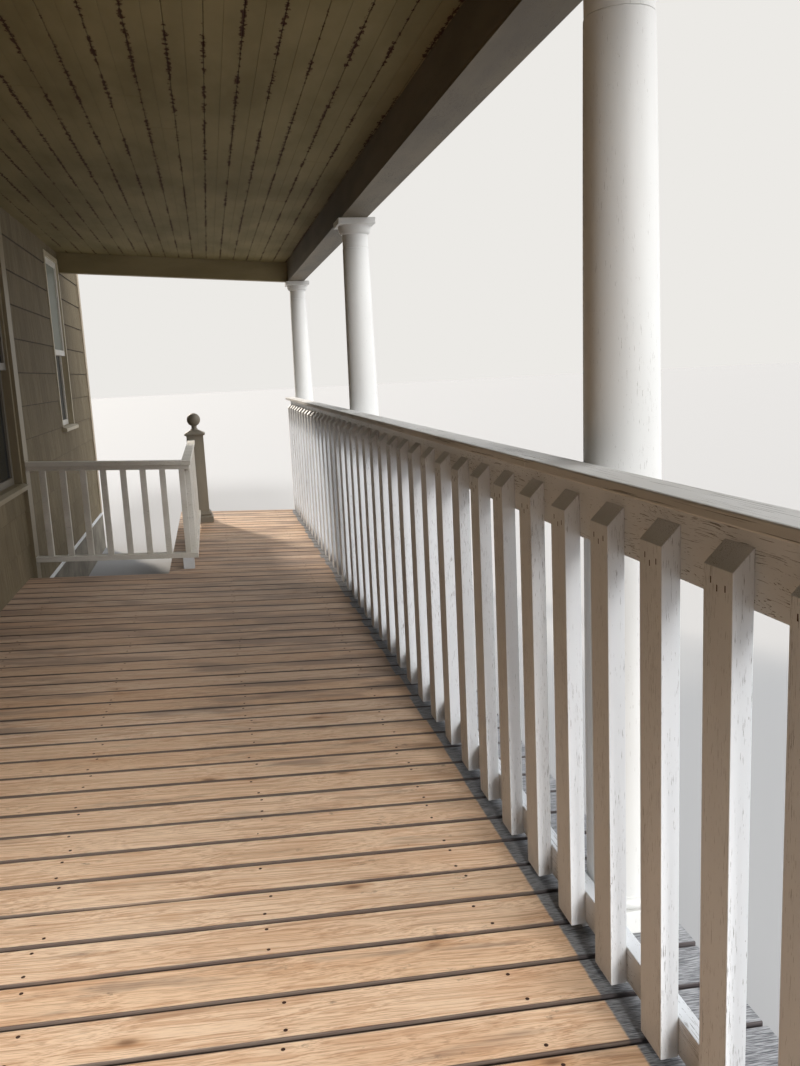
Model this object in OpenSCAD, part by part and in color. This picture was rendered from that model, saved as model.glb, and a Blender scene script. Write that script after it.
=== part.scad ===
/* [Porch plan] */
// Number of bays between columns along the porch
bays = 3; // [3:1:5]
// Distance between column centres along the porch
bay_length = 3780; // [3200:10:4400]
// Distance from the wall face to the inner face of the balusters
walk_width = 2090; // [1700:10:2600]
// Height of the floor above the ground, measured at the wall
floor_height = 560; // [400:5:900]
// Fall of the floor away from the wall, in millimetres per metre
floor_fall = 55; // [0:1:70]
// Height of the ceiling above the floor, measured at the wall
ceiling_height = 2523; // [2300:1:3000]
// Fall of the ceiling away from the wall, in millimetres per metre
ceiling_fall = 68; // [0:1:80]

/* [Notch] */
// Distance from the notch's near edge to the far end of the floor
notch_length = 3120; // [2000:10:3600]
// Depth of the notch in the floor, measured from the wall face
notch_depth = 935; // [700:5:1100]

/* [Floor] */
// Thickness of the floor boards
board_thick = 28; // [20:1:40]
// Distance that the floor runs past the column plinths
floor_lip = 18; // [5:1:60]
// Depth of the joists and of the rim boards
joist_depth = 140; // [100:5:200]
// Thickness of the joists, the ledger and the rim boards
joist_thick = 38; // [30:1:50]
// Largest distance between joists
joist_spacing = 610; // [400:10:700]
// Width of the girders that cross under the joists
girder_width = 90; // [60:5:140]
// Depth of the girders
girder_depth = 120; // [90:5:180]
// Width of the square piers
pier_width = 240; // [200:5:320]

/* [Columns] */
// Diameter of a column shaft at its foot
shaft_foot_d = 190; // [150:1:200]
// Diameter of a column shaft at its neck
shaft_neck_d = 158; // [120:1:170]
// Distance that the square plinth stands out past the shaft's foot
plinth_out = 2; // [1:0.5:4]
// Height of the plinth under a column
plinth_height = 60; // [40:1:100]
// Height of the round base moulding above the plinth
base_height = 44; // [30:1:70]
// Width of the square slab on top of a capital
abacus_width = 226; // [200:1:280]
// Thickness of the square slab on top of a capital
abacus_thick = 36; // [24:1:50]
// Height of the round part of a capital below the slab
echinus_height = 52; // [36:1:80]
// Distance that the slab stands out past the round part of the capital
abacus_out = 12; // [4:1:20]
// Height of a capital's plain neck, from its joint with the shaft up to its round part
capital_neck = 78; // [40:1:140]
// Step in from the shaft to the capital's neck
neck_step = 1.5; // [0.5:0.5:5]
// Gap between the rail cap and the column shafts
column_gap = 0.3; // [0.3:0.1:5]

/* [Beam and headers] */
// Width of the beam over the columns
beam_width = 160; // [120:1:200]
// Distance from the beam's underside to the ceiling at the beam's inner face
beam_drop = 183; // [120:1:260]
// Total depth of the beam
beam_depth = 240; // [200:1:340]
// Distance that the beam's centre is set in from the column centres
beam_set_in = 14; // [0:1:20]
// Thickness of the soffit board under the beam
soffit_thick = 12; // [8:1:20]
// Thickness of the header boards across the ends
header_thick = 90; // [60:1:140]
// Thickness of the ceiling boards
ceiling_thick = 18; // [12:1:30]

/* [Roof] */
// Slope of the roof
roof_pitch = 12; // [8:0.5:20]
// Distance that the eave runs out past the beam
eave_reach = 170; // [150:10:450]
// Distance that the roof runs out past the end headers
verge_reach = 150; // [60:10:260]
// Depth of the rafters
rafter_depth = 90; // [70:5:120]
// Thickness of the rafters
rafter_thick = 38; // [30:1:50]
// Number of rafters
rafter_count = 12; // [6:1:20]
// Thickness of the roof boards
roof_board = 20; // [14:1:30]
// Thickness of the roofing
roofing_thick = 8; // [5:1:15]
// Thickness of the fascia, the end panels and the eave soffit
trim_thick = 20; // [14:1:30]
// Height of the flashing up the wall
flashing_height = 110; // [60:5:180]
// Distance that the flashing laps down over the roofing
flashing_lap = 90; // [60:5:150]
// Distance that the roofing runs out past the roof boards
roofing_lip = 15; // [5:1:30]
// Height of the wall shown above the flashing
wall_above_roof = 60; // [20:5:300]

/* [Balustrade] */
// Height of the cap's top above the floor at the wall
cap_height = 1054; // [850:1:1150]
// Width of the rail cap
cap_width = 89; // [70:1:110]
// Distance that the rail cap runs out past the board under it
cap_back = 5; // [4:0.5:12]
// Thickness of the rail cap
cap_thick = 25; // [25:1:50]
// Distance past each inner column where two lengths of cap meet
cap_joint_past = 170; // [110:5:400]
// Depth of the board on edge under the cap
sub_rail_depth = 140; // [89:1:160]
// Thickness of the board under the cap and of the bottom rail
rail_thick = 35; // [25:1:45]
// Depth of the bottom rail
bottom_rail_depth = 85; // [60:1:110]
// Height of the bottom rail's underside above the floor beside it
bottom_rail_lift = 30; // [15:1:80]
// Thickness of a baluster, across the porch
baluster_thick = 38; // [30:1:45]
// Width of a baluster, along the porch
baluster_width = 89; // [60:1:100]
// Distance between baluster centres along the porch
baluster_pitch = 236; // [200:1:300]
// Distance from the near end of the floor to the first baluster's centre
baluster_first = 332; // [260:1:420]
// Distance from the near end of the floor to the end balustrade
end_set_back = 30; // [10:1:60]
// Gap between the cap and the top of a baluster
baluster_top_gap = 38; // [10:1:40]
// Gap between the foot of a baluster and the floor
baluster_foot_gap = 22; // [10:1:40]

/* [Side rail] */
// Height of the side rail's top above the floor beside it
side_height = 782; // [700:1:950]
// Width of the side rail's cap and of its flat bottom rail
side_cap_width = 64; // [50:1:110]
// Thickness of the side rail's cap
side_cap_thick = 33; // [18:1:40]
// Depth of the rail under the side rail's cap
side_rail_depth = 30; // [25:1:60]
// Thickness of the balusters of the side rail and of the rail under its cap
side_stick = 40; // [32:1:50]
// Thickness of the side rail's flat bottom rail
side_bottom_depth = 36; // [25:1:80]
// Height of the side rail's bottom rail above the floor
side_bottom_lift = 79; // [60:1:150]
// Distance between the side rail's balusters
side_pitch = 134; // [110:1:160]
// Distance from the notch's edge to the centre of the side rail, out over the notch
side_past_notch = 170; // [100:1:260]
// Distance from the walkway's edge to the centre of the rail that runs along it
side_run_inset = 177; // [120:1:260]
// Distance from the centre of the rail along the walkway to the first baluster across the notch
corner_step = 35; // [0:1:60]
// Width of the block that stands under the side rail's corner
corner_foot = 78; // [50:1:100]
// Distance from the far end of the floor to the newel's centre
newel_from_end = 670; // [300:10:900]
// Distance that the newel's centre is shifted towards the walkway
newel_shift = 36; // [0:1:50]

/* [Newel] */
// Width of the newel's box
newel_width = 155; // [120:1:180]
// Height of the newel's box above the side rail's top
newel_rise = 41; // [10:1:120]
// Width of the newel's top plate
newel_plate_width = 190; // [165:1:220]
// Thickness of the newel's top plate
newel_plate_thick = 22; // [15:1:35]
// Diameter of the ball on the newel
ball_d = 124; // [90:1:150]
// Height of the plain foot of the newel's moulded base
newel_foot_height = 48; // [30:1:80]
// Height of the whole moulded base round the newel's foot
newel_base_height = 100; // [90:1:140]
// Distance that the moulded base stands out
newel_base_out = 34; // [24:1:45]

/* [House wall] */
// Thickness of the house wall
wall_thick = 160; // [120:5:220]
// Distance that the wall runs past the far end of the floor
wall_past_end = 1180; // [400:10:1600]
// Distance that the wall runs past the near end of the floor
wall_past_near = 100; // [60:10:400]
// Distance from the floor at the wall down to the siding's foot
siding_drop = 172; // [120:1:240]
// Thickness of the strip at the siding's foot
drip_depth = 24; // [15:1:40]
// Distance that the strip at the siding's foot stands out
drip_out = 26; // [10:1:40]
// Thickness of the foundation wall
foundation_thick = 200; // [160:5:260]
// Width of the corner board
corner_width = 110; // [80:5:150]
// Thickness of the corner board
corner_thick = 22; // [15:1:30]

/* [Windows] */
// Distance from the far end of the floor back to the far window's far side
far_window_back = 230; // [200:5:400]
// Width of the far window's opening
far_window_width = 755; // [600:5:900]
// Height of the far window's sill above the floor at the wall
far_sill_height = 918; // [700:1:1100]
// Distance from the far end of the floor back to the near window's far side
near_window_back = 2990; // [2400:10:3200]
// Width of the near window's opening
near_window_width = 1200; // [900:10:1500]
// Height of the near window's sill above the floor at the wall
near_sill_height = 640; // [500:1:800]
// Distance from the ceiling down to the window heads
window_head_drop = 74; // [50:1:150]
// Thickness of the window frames
frame_thick = 40; // [30:1:60]
// Distance that the window frames stand out from the wall
frame_out = 16; // [5:1:25]
// Depth of the window frames into the wall
frame_depth = 120; // [90:1:140]
// Width of the flat boards that case the near window
casing_width = 140; // [80:5:180]
// Thickness of those boards
casing_thick = 38; // [18:1:45]
// Height of the board over the near window
head_casing = 60; // [40:1:70]
// Thickness of the window sills
sill_thick = 42; // [30:1:60]
// Distance that the window sills stand out from the wall
sill_out = 50; // [30:1:80]
// Width of the sash rails and stiles
sash_width = 48; // [35:1:60]
// Thickness of a sash
sash_thick = 34; // [28:1:40]
// Height of the meeting rail as a share of the window's height
meeting_share = 0.445; // [0.35:0.005:0.6]
// Thickness of the glass
glass_thick = 5; // [4:0.5:8]

/* [Hidden] */
$fn = 48;

// Small gap that keeps like pieces apart where their ends meet
fit_gap = 0.3;
white_paint = "#d8d2c4";
beige_paint = "#b9aa90";
taupe_paint = "#8d8274";
siding_tone = "#a8977d";
new_wood = "#c99a66";
old_wood = "#8f867b";
masonry = "#8c8a86";
glass_tone = "#7d8c90";
roof_tone = "#4c4a48";
metal_tone = "#9aa0a3";

// Floor and ceiling heights at a distance from the wall
function floor_z(x) = floor_height - x*floor_fall/1000;
function ceiling_z(x) = floor_height + ceiling_height - x*ceiling_fall/1000;

// Balustrade lines, measured out from the wall
baluster_back = walk_width + baluster_thick;
rail_back = baluster_back + rail_thick;
cap_back_x = rail_back + cap_back;
cap_front_x = cap_back_x - cap_width;
cap_top = floor_height + cap_height;
cap_under = cap_top - cap_thick;
baluster_top = cap_under - baluster_top_gap;

// Column lines
plinth_width = shaft_foot_d + 2*plinth_out;
column_x = cap_back_x + column_gap + shaft_foot_d/2;
function column_y(i) = plinth_width/2 + floor_lip + i*bay_length;
floor_end = column_y(bays) + plinth_width/2 + floor_lip;
floor_out = column_x + plinth_width/2 + floor_lip;
notch_y = floor_end - notch_length;

// Beam and headers
beam_in = column_x - beam_set_in - beam_width/2;
beam_out = beam_in + beam_width;
beam_under = ceiling_z(beam_in) - beam_drop;
beam_top = beam_under + beam_depth;
near_header = column_y(0) - header_thick/2;
far_header = column_y(bays) - header_thick/2;
ceiling_from = near_header + header_thick;

// Column heights
column_foot = floor_z(column_x) + plinth_height;
shaft_foot = column_foot + base_height;
abacus_under = beam_under - abacus_thick;
shaft_top = abacus_under - echinus_height - capital_neck;

// Roof planes
roof_rise = tan(roof_pitch);
rafter_height = rafter_depth/cos(roof_pitch);
board_height = roof_board/cos(roof_pitch);
roofing_height = roofing_thick/cos(roof_pitch);
eave_x = beam_out + eave_reach;
roof_near = near_header - verge_reach;
roof_far = far_header + header_thick + verge_reach;
function rafter_under(x) = beam_top + (beam_out - x)*roof_rise;
function rafter_top(x) = rafter_under(x) + rafter_height;
wall_top = rafter_top(0) + board_height + roofing_height + flashing_height + wall_above_roof;

// House wall
wall_near = -wall_past_near;
wall_far = floor_end + wall_past_end;
siding_foot = floor_height - siding_drop;
foundation_out = 20;
far_window = [floor_end - far_window_back - far_window_width, far_window_width, floor_height + far_sill_height];
near_window = [floor_end - near_window_back - near_window_width, near_window_width, floor_height + near_sill_height];
windows = [near_window, far_window];
window_head = ceiling_z(0) - window_head_drop;

// Frame under the floor
rim_lip = 12;
rim_out = floor_out - rim_lip;
joist_top = board_thick;
girder_top = board_thick + joist_depth;
pier_top = girder_top + girder_depth;
girder_in = foundation_out + fit_gap;
joist_bays = ceil((rim_out - 2*joist_thick)/joist_spacing);
joist_step = (rim_out - joist_thick)/joist_bays;
notch_girder = notch_y - pier_width/2;

// Side rail
side_y = notch_y + side_past_notch;
run_x = notch_depth + side_run_inset;
newel_x = run_x + newel_shift;
newel_y = floor_end - newel_from_end;
run_from = side_y + side_cap_width/2;
run_to = newel_y - newel_width/2 - fit_gap;
side_rail_under = side_height - side_cap_thick - side_rail_depth;
side_bottom_top = side_bottom_lift + side_bottom_depth;

// Outline in the X and Z directions, drawn along Y from one place to another
module along_y(points, from, to)
  translate([0, to, 0]) rotate([90, 0, 0]) linear_extrude(to - from) polygon(points);

// Outline in the Y and Z directions, drawn along X from one place to another
module along_x(points, from, to)
  translate([from, 0, 0]) rotate([90, 0, 90]) linear_extrude(to - from) polygon(points);

// Box between two corners
module block(low, high)
  translate(low) cube(high - low);

// Board that follows the floor's fall, between two depths below the floor
module floor_board(x0, x1, from, to, top, bottom)
  along_y([[x0, floor_z(x0) - top], [x0, floor_z(x0) - bottom],
           [x1, floor_z(x1) - bottom], [x1, floor_z(x1) - top]], from, to);

// Stick that stands on the floor and ends level at the top
module on_floor(x0, x1, from, to, top)
  along_y([[x0, floor_z(x0)], [x1, floor_z(x1)], [x1, top], [x0, top]], from, to);

module foundation()
  color(masonry)
    block([foundation_out - foundation_thick, wall_near, 0], [foundation_out, wall_far, siding_foot]);

module wall_part(from, to, low, high)
  color(siding_tone) block([-wall_thick, from, low], [0, to, high]);

module wall_piers() {
  wall_part(wall_near, near_window[0], siding_foot, wall_top);
  wall_part(near_window[0] + near_window[1], far_window[0], siding_foot, wall_top);
  wall_part(far_window[0] + far_window[1], wall_far, siding_foot, wall_top);
}

// Wall under each sill and over each window head
module wall_at_windows()
  for (w = windows) {
    wall_part(w[0], w[0] + w[1], siding_foot, w[2] - sill_thick);
    wall_part(w[0], w[0] + w[1], window_head, wall_top);
  }

module water_table()
  color(white_paint)
    along_y([[0, siding_foot], [drip_out, siding_foot], [drip_out, siding_foot + drip_depth/2],
             [0, siding_foot + drip_depth]], notch_y + fit_gap, wall_far);

module corner_board()
  color(siding_tone)
    block([0, wall_far - corner_width, siding_foot + drip_depth], [corner_thick, wall_far, wall_top]);

// Flat boards round the near window. They run down past the sill, and the far one carries the side rail
module near_casing() {
  w = near_window;
  far = w[0] + w[1];
  on_floor(0, casing_thick, w[0] - casing_width, w[0] - fit_gap, window_head);
  block([0, far + fit_gap, siding_foot + drip_depth], [casing_thick, far + casing_width, window_head]);
  block([0, w[0] - casing_width, window_head + fit_gap],
        [casing_thick, far + casing_width, window_head + head_casing]);
}

module window_frames() {
  color(white_paint) near_casing();
  color(white_paint) for (w = windows) {
    block([frame_out - frame_depth, w[0], window_head - frame_thick],
          [frame_out, w[0] + w[1], window_head]);
    for (y = [w[0], w[0] + w[1] - frame_thick])
      block([frame_out - frame_depth, y, w[2] + fit_gap],
            [frame_out, y + frame_thick, window_head - frame_thick - fit_gap]);
  }
}

module window_sills()
  color(white_paint) for (w = windows)
    along_y([[-wall_thick, w[2] - sill_thick], [sill_out, w[2] - sill_thick],
             [sill_out, w[2] - sill_thick/3], [frame_out, w[2]], [-wall_thick, w[2]]], w[0], w[0] + w[1]);

// Sash between two heights, with its outer face at a depth in the wall
module sash(y0, y1, low, high, face)
  difference() {
    block([face - sash_thick, y0, low], [face, y1, high]);
    block([face - 2*sash_thick, y0 + sash_width, low + sash_width],
          [face + sash_thick, y1 - sash_width, high - sash_width]);
  }

// Low edge, high edge and outer face of the two sashes in a window
function meeting_z(w) = w[2] + (window_head - frame_thick - w[2])*meeting_share;
function sash_rows(w) = [
  [w[2] + fit_gap, meeting_z(w) + sash_width/2, -sash_thick - fit_gap],
  [meeting_z(w) - sash_width/2, window_head - frame_thick - fit_gap, 0]
];

module window_sashes()
  color(white_paint) for (w = windows, s = sash_rows(w))
    sash(w[0] + frame_thick + fit_gap, w[0] + w[1] - frame_thick - fit_gap, s[0], s[1], s[2]);

module window_glass()
  color(glass_tone) for (w = windows, s = sash_rows(w))
    block([s[2] - (sash_thick + glass_thick)/2, w[0] + frame_thick + sash_width, s[0] + sash_width],
          [s[2] - (sash_thick - glass_thick)/2, w[0] + w[1] - frame_thick - sash_width, s[1] - sash_width]);

// Girders: their places along the porch, each with the distance from the wall where it starts
girders_at = concat([for (i = [0:bays - 1]) [column_y(i), girder_in]],
                    [[notch_girder, girder_in], [column_y(bays), notch_depth]]);

module girders()
  color(old_wood) for (g = girders_at)
    floor_board(g[1], rim_out - joist_thick, g[0] - girder_width/2, g[0] + girder_width/2,
                girder_top, pier_top);

module piers()
  color(masonry) for (g = girders_at) {
    out = rim_out - joist_thick - pier_width;
    for (x = [g[1], (g[1] + out)/2, out])
      along_y([[x, 0], [x + pier_width, 0], [x + pier_width, floor_z(x + pier_width) - pier_top],
               [x, floor_z(x) - pier_top]], g[0] - pier_width/2, g[0] + pier_width/2);
  }

// The first joist is the ledger on the wall, and the last place belongs to the outer rim
module joists()
  color(old_wood) for (i = [0:joist_bays - 1]) {
    x = i*joist_step;
    floor_board(x, x + joist_thick, joist_thick + fit_gap,
                (x < notch_depth + joist_thick ? notch_y : floor_end) - joist_thick - fit_gap,
                joist_top, girder_top);
  }

module rim_boards()
  color(white_paint) {
    floor_board(rim_out - joist_thick, rim_out, 0, floor_end, joist_top, girder_top);
    floor_board(0, rim_out - joist_thick - fit_gap, 0, joist_thick, joist_top, girder_top);
    floor_board(0, notch_depth - fit_gap, notch_y - joist_thick, notch_y, joist_top, girder_top);
    floor_board(notch_depth, notch_depth + joist_thick, notch_y, floor_end - joist_thick - fit_gap,
                joist_top, girder_top);
    floor_board(notch_depth, rim_out - joist_thick - fit_gap, floor_end - joist_thick, floor_end,
                joist_top, girder_top);
  }

module deck_main()
  color(new_wood) floor_board(0, floor_out, 0, notch_y, 0, board_thick);

module deck_walkway()
  color(new_wood) floor_board(notch_depth, floor_out, notch_y, floor_end, 0, board_thick);

module at_columns()
  for (i = [0:bays]) translate([column_x, column_y(i), 0]) children();

module column_plinths()
  color(white_paint) for (i = [0:bays])
    on_floor(column_x - plinth_width/2, column_x + plinth_width/2, column_y(i) - plinth_width/2,
             column_y(i) + plinth_width/2, column_foot);

module column_bases()
  color(white_paint) at_columns() translate([0, 0, column_foot]) rotate_extrude() base_profile();

// Round base moulding: a half-round roll with a small fillet above it
base_fillet = 13;
module base_profile() {
  roll_r = (base_height - base_fillet)/2;
  square([plinth_width/2 - roll_r, base_height]);
  translate([plinth_width/2 - roll_r, 0]) intersection() {
    translate([0, roll_r]) circle(roll_r);
    square(2*roll_r);
  }
}

// Shaft radius at a share of its height: straight at the foot, then drawn in towards the neck
shaft_curve = 2;
shaft_steps = 12;
function shaft_r(t) = shaft_foot_d/2 - (shaft_foot_d - shaft_neck_d)/2*pow(t, shaft_curve);

module column_shafts()
  color(white_paint) at_columns() rotate_extrude()
    polygon(concat([[0, shaft_foot]],
                   [for (k = [0:shaft_steps])
                     [shaft_r(k/shaft_steps), shaft_foot + (shaft_top - shaft_foot)*k/shaft_steps]],
                   [[0, shaft_top]]));

module column_capitals()
  color(white_paint) at_columns() {
    translate([0, 0, shaft_top]) rotate_extrude() capital_profile();
    translate([-abacus_width/2, -abacus_width/2, abacus_under])
      cube([abacus_width, abacus_width, abacus_thick]);
  }

// Plain neck, then a round cushion that widens from it to the slab
module capital_profile() {
  neck = shaft_neck_d/2 - neck_step;
  reach = abacus_width/2 - abacus_out - neck;
  polygon(concat([[0, 0], [neck, 0]],
                 [for (a = [0:15:90])
                   [neck + reach*sin(a), capital_neck + echinus_height*(1 - cos(a))]],
                 [[0, capital_neck + echinus_height]]));
}

module front_beam()
  color(taupe_paint)
    block([beam_in, near_header, beam_under + soffit_thick],
          [beam_out, far_header + header_thick, beam_top]);

module beam_soffit()
  color(beige_paint)
    block([beam_in, near_header, beam_under], [beam_out, far_header + header_thick, beam_under + soffit_thick]);

module end_headers()
  color(beige_paint) for (y = [near_header, far_header])
    along_y([[0, ceiling_z(0) - beam_drop], [beam_in - fit_gap, ceiling_z(beam_in) - beam_drop],
             [beam_in - fit_gap, beam_top], [0, ceiling_z(0) - beam_drop + beam_depth]],
            y, y + header_thick);

module end_panels()
  color(beige_paint) for (y = [near_header, far_header + header_thick - trim_thick])
    along_y([[0, ceiling_z(0) - beam_drop + beam_depth], [beam_in, beam_top], [beam_out, beam_top],
             [beam_out, rafter_top(beam_out)], [0, rafter_top(0)]], y, y + trim_thick);

module ceiling()
  color(beige_paint)
    along_y([[0, ceiling_z(0)], [beam_in - fit_gap, ceiling_z(beam_in)],
             [beam_in - fit_gap, ceiling_z(beam_in) + ceiling_thick], [0, ceiling_z(0) + ceiling_thick]],
            ceiling_from, far_header);

// Rafters stand between the end panels and run from the wall to the fascia
rafter_from = near_header + trim_thick + fit_gap;
rafter_to = far_header + header_thick - trim_thick - rafter_thick - fit_gap;

module rafters()
  color(old_wood) for (i = [0:rafter_count - 1]) {
    y = rafter_from + i*(rafter_to - rafter_from)/(rafter_count - 1);
    along_y([[0, rafter_under(0)], [eave_x, rafter_under(eave_x)], [eave_x, rafter_top(eave_x)],
             [0, rafter_top(0)]], y, y + rafter_thick);
  }

// Sheet on the roof's slope, between two heights above the rafters
module roof_sheet(x1, low, high, from, to)
  along_y([[0, rafter_top(0) + low], [x1, rafter_top(x1) + low], [x1, rafter_top(x1) + high],
           [0, rafter_top(0) + high]], from, to);

module roof_deck()
  color(old_wood) roof_sheet(eave_x + trim_thick, 0, board_height, roof_near, roof_far);

module roofing()
  color(roof_tone) roof_sheet(eave_x + trim_thick + roofing_lip, board_height,
                              board_height + roofing_height, roof_near - roofing_lip,
                              roof_far + roofing_lip);

soffit_z = rafter_under(eave_x) - trim_thick;

module fascia()
  color(white_paint) {
    block([eave_x, roof_near, soffit_z], [eave_x + trim_thick, roof_far, rafter_top(eave_x + trim_thick)]);
    for (y = [roof_near, roof_far - trim_thick])
      along_y([[0, rafter_under(0)], [eave_x - fit_gap, rafter_under(eave_x)],
               [eave_x - fit_gap, rafter_top(eave_x)], [0, rafter_top(0)]], y, y + trim_thick);
  }

module eave_soffit()
  color(white_paint) block([beam_out, roof_near, soffit_z], [eave_x, roof_far, soffit_z + trim_thick]);

// Metal strip that laps down over the roofing and up the wall
flashing_thick = 3;
module flashing() {
  z = rafter_top(0) + board_height + roofing_height;
  color(metal_tone)
    along_y([[0, z], [flashing_lap, z - flashing_lap*roof_rise],
             [flashing_lap, z - flashing_lap*roof_rise + flashing_thick],
             [flashing_thick, z + flashing_thick], [flashing_thick, z + flashing_height],
             [0, z + flashing_height]], roof_near, roof_far);
}

// End balustrade: its back line and the places measured from it
end_rail_in = end_set_back + rail_thick;
end_cap_out = end_set_back - cap_back;
rail_end = column_y(bays) + plinth_width/2;
bottom_rail_under = floor_z(rail_back) + bottom_rail_lift;

// Places along the porch where the lengths of cap start and end
cap_ends = concat([end_cap_out + cap_width], [for (i = [1:bays - 1]) column_y(i) + cap_joint_past],
                  [rail_end]);

module rail_cap()
  color(old_wood) {
    for (i = [0:bays - 1])
      block([cap_front_x, cap_ends[i] + fit_gap, cap_under], [cap_back_x, cap_ends[i + 1], cap_top]);
    block([0, end_cap_out, cap_under], [cap_back_x, end_cap_out + cap_width, cap_top]);
  }

module sub_rail()
  color(white_paint) {
    block([baluster_back, end_set_back, cap_under - sub_rail_depth], [rail_back, rail_end, cap_under]);
    block([0, end_set_back, cap_under - sub_rail_depth],
          [baluster_back - fit_gap, end_rail_in, cap_under]);
  }

module bottom_rail()
  color(white_paint) {
    block([baluster_back, end_set_back, bottom_rail_under],
          [rail_back, rail_end, bottom_rail_under + bottom_rail_depth]);
    along_y([[0, floor_z(0) + bottom_rail_lift],
             [baluster_back - fit_gap, floor_z(baluster_back) + bottom_rail_lift],
             [baluster_back - fit_gap, floor_z(baluster_back) + bottom_rail_lift + bottom_rail_depth],
             [0, floor_z(0) + bottom_rail_lift + bottom_rail_depth]], end_set_back, end_rail_in);
  }

// Baluster with a bevelled top that falls towards the walk, set on its back face
module baluster(foot)
  along_y([[-baluster_thick, foot], [0, foot], [0, baluster_top],
           [-baluster_thick, baluster_top - baluster_thick]], -baluster_width/2, baluster_width/2);

baluster_count = floor((rail_end - baluster_width - baluster_first)/baluster_pitch) + 1;
function baluster_y(k) = baluster_first + k*baluster_pitch;

// Balusters between two places along the porch
module balusters(from, to)
  color(white_paint) for (k = [0:baluster_count - 1])
    if (baluster_y(k) >= from && baluster_y(k) < to)
      translate([baluster_back, baluster_y(k), 0]) baluster(floor_z(walk_width) + baluster_foot_gap);

module balusters_bay_1() balusters(0, column_y(1));
module balusters_bay_2() balusters(column_y(1), column_y(2));
module balusters_bay_3() balusters(column_y(2), floor_end);

end_count = floor((walk_width - baluster_width)/baluster_pitch);
end_pitch = walk_width/(end_count + 1);

// The end balusters stand on the walk's side of their rail, turned to face along the porch
module balusters_end()
  color(white_paint) for (k = [1:end_count])
    translate([k*end_pitch, end_rail_in, 0]) rotate([0, 0, -90])
      baluster(floor_z(k*end_pitch) + baluster_foot_gap);

// Blocks that stand on the floor under the rails
block_length = 90;
module foot_blocks()
  color(white_paint) {
    for (i = [0:bays])
      on_floor(baluster_back, rail_back, column_y(i) - block_length/2, column_y(i) + block_length/2,
               bottom_rail_under);
    floor_board(walk_width/2, walk_width/2 + block_length, end_set_back, end_rail_in, -bottom_rail_lift, 0);
    floor_board(run_x - corner_foot, run_x, side_y - corner_foot/2, side_y + corner_foot/2,
                -side_bottom_lift, 0);
  }

// Rail across the notch from the near window's casing, between two heights above the floor
module side_across(x1, width, low, high)
  floor_board(casing_thick + fit_gap, x1, side_y - width/2, side_y + width/2, -high, -low);

// Rail along the walkway, between the same heights
module side_run(width, low, high)
  block([run_x - width/2, run_from + fit_gap, floor_z(run_x) + low],
        [run_x + width/2, run_to, floor_z(run_x) + high]);

module side_rail_top()
  color(white_paint) {
    side_across(run_x + side_cap_width/2, side_cap_width, side_height - side_cap_thick, side_height);
    side_across(run_x + side_stick/2, side_stick, side_rail_under, side_height - side_cap_thick);
    side_run(side_cap_width, side_height - side_cap_thick, side_height);
    side_run(side_stick, side_rail_under, side_height - side_cap_thick);
  }

module side_rail_bottom()
  color(white_paint) {
    side_across(run_x + side_cap_width/2, side_cap_width, side_bottom_lift, side_bottom_top);
    side_run(side_cap_width, side_bottom_lift, side_bottom_top);
  }

side_count = floor((run_x - corner_step - casing_thick - side_stick)/side_pitch);
run_count = floor((run_to - side_y - side_stick)/side_pitch);

module notch_balusters()
  color(white_paint) for (k = [0:side_count])
    let (x = run_x - corner_step - k*side_pitch)
      floor_board(x - side_stick/2, x + side_stick/2, side_y - side_stick/2, side_y + side_stick/2,
                  -side_rail_under, -side_bottom_top);

module walkway_balusters()
  color(white_paint) for (k = [1:run_count])
    let (y = side_y + k*side_pitch)
      block([run_x - side_stick/2, y - side_stick/2, floor_z(run_x) + side_bottom_top],
            [run_x + side_stick/2, y + side_stick/2, floor_z(run_x) + side_rail_under]);

newel_top = floor_z(newel_x) + side_height + newel_rise;

module newel_post()
  color(white_paint)
    on_floor(newel_x - newel_width/2, newel_x + newel_width/2, newel_y - newel_width/2,
             newel_y + newel_width/2, newel_top);

// Side of the moulded base, as distances out from the box and up from its foot: a plain foot, a
// cove that draws in and a half-round roll
base_cove = 14;
base_roll = 11;
function base_side() = let (cove_z = newel_foot_height + base_cove, out = newel_base_out - base_cove)
  concat([[newel_base_out, 0], [newel_base_out, newel_foot_height]],
         [for (a = [0:22.5:90]) [newel_base_out - base_cove*sin(a), cove_z - base_cove*cos(a)]],
         [for (a = [-90:30:90]) [out - base_roll + base_roll*cos(a), cove_z + base_roll*(1 + sin(a))]],
         [[out - base_roll, newel_base_height - base_roll], [fit_gap, newel_base_height]]);

// Both sides of the base, from one end of the outline to the other
function base_outline() = let (half = newel_width/2, side = base_side(), n = len(side) - 1)
  concat([for (p = side) [half + p[0], p[1]]], [for (i = [n:-1:0]) [-half - side[i][0], side[i][1]]]);

module newel_base() {
  half = newel_width/2 + newel_base_out;
  lift = [0, 0, floor_z(newel_x)];
  color(white_paint) difference() {
    union() {
      intersection() {
        translate([newel_x, 0, 0] + lift) along_y(base_outline(), newel_y - half, newel_y + half);
        translate([0, newel_y, 0] + lift) along_x(base_outline(), newel_x - half, newel_x + half);
        on_floor(newel_x - half, newel_x + half, newel_y - half, newel_y + half, newel_top);
      }
      on_floor(newel_x - half, newel_x + half, newel_y - half, newel_y + half,
               floor_z(newel_x) + newel_foot_height);
    }
    block([newel_x - newel_width/2 - fit_gap, newel_y - newel_width/2 - fit_gap, 0],
          [newel_x + newel_width/2 + fit_gap, newel_y + newel_width/2 + fit_gap, newel_top]);
  }
}

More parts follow.
